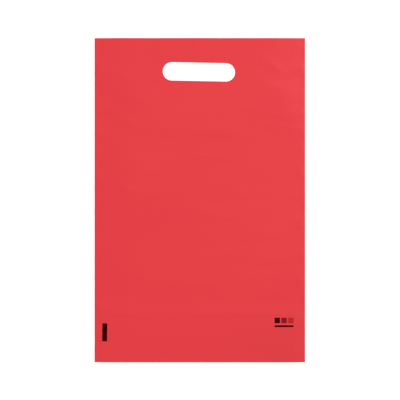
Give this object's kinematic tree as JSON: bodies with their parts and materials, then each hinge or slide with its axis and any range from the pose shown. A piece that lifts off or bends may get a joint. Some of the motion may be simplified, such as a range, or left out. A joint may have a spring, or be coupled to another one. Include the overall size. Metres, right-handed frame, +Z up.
{
  "type": "plastic carrier bag",
  "caption": "Thin film carrier bag lying flat, with welded sides, an open mouth, a bottom gusset tucked up inside and a round-ended handle slot punched through both panels.",
  "frame": {"origin": "on the surface that the bag lies on, under the middle of the bag's box", "axes": "+Z up out of the front panel, +Y from the bottom folds to the mouth, +X to the right as the front is seen"},
  "size_m": [0.25, 0.3852, 0.0022],
  "materials": {
    "red_film": "satin red polyethylene film"
  },
  "bodies": {
    "root": {"carrier_bag": "red_film"}
  },
  "joints": []
}
